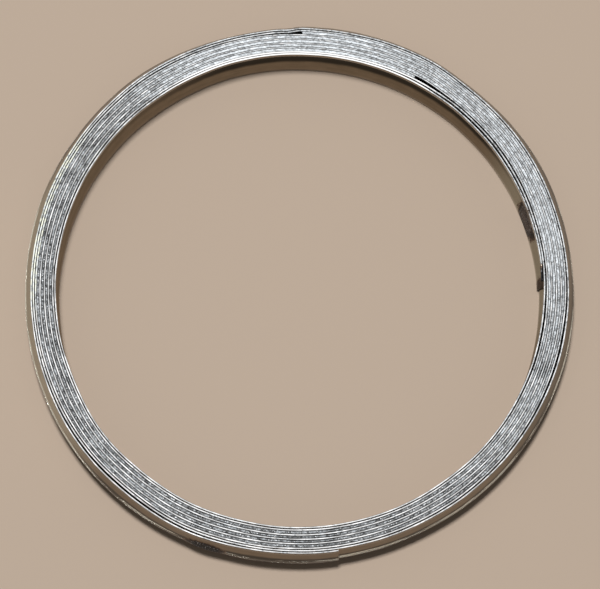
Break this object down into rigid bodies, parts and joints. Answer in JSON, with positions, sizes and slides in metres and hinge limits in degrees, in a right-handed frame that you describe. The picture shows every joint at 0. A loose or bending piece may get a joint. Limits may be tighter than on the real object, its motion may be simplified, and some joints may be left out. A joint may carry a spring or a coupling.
{
  "type": "spiral wound gasket",
  "caption": "Spiral wound exhaust gasket: a V-section steel strip and a graphite filler wound into one flat ring, with bare turns at the bore and at the rim.",
  "frame": {"origin": "on the axis of the bore, in the plane of the lower sealing face", "axes": "+Z along the bore axis, out of the upper sealing face; +X through the inner end of the steel strip"},
  "size_m": [0.0678, 0.068, 0.0064],
  "materials": {
    "steel": "bright rolled strip",
    "graphite": "pressed flake, dull metallic"
  },
  "bodies": {
    "root": {"winding_strip": "steel", "filler_strip": "graphite"}
  },
  "joints": []
}
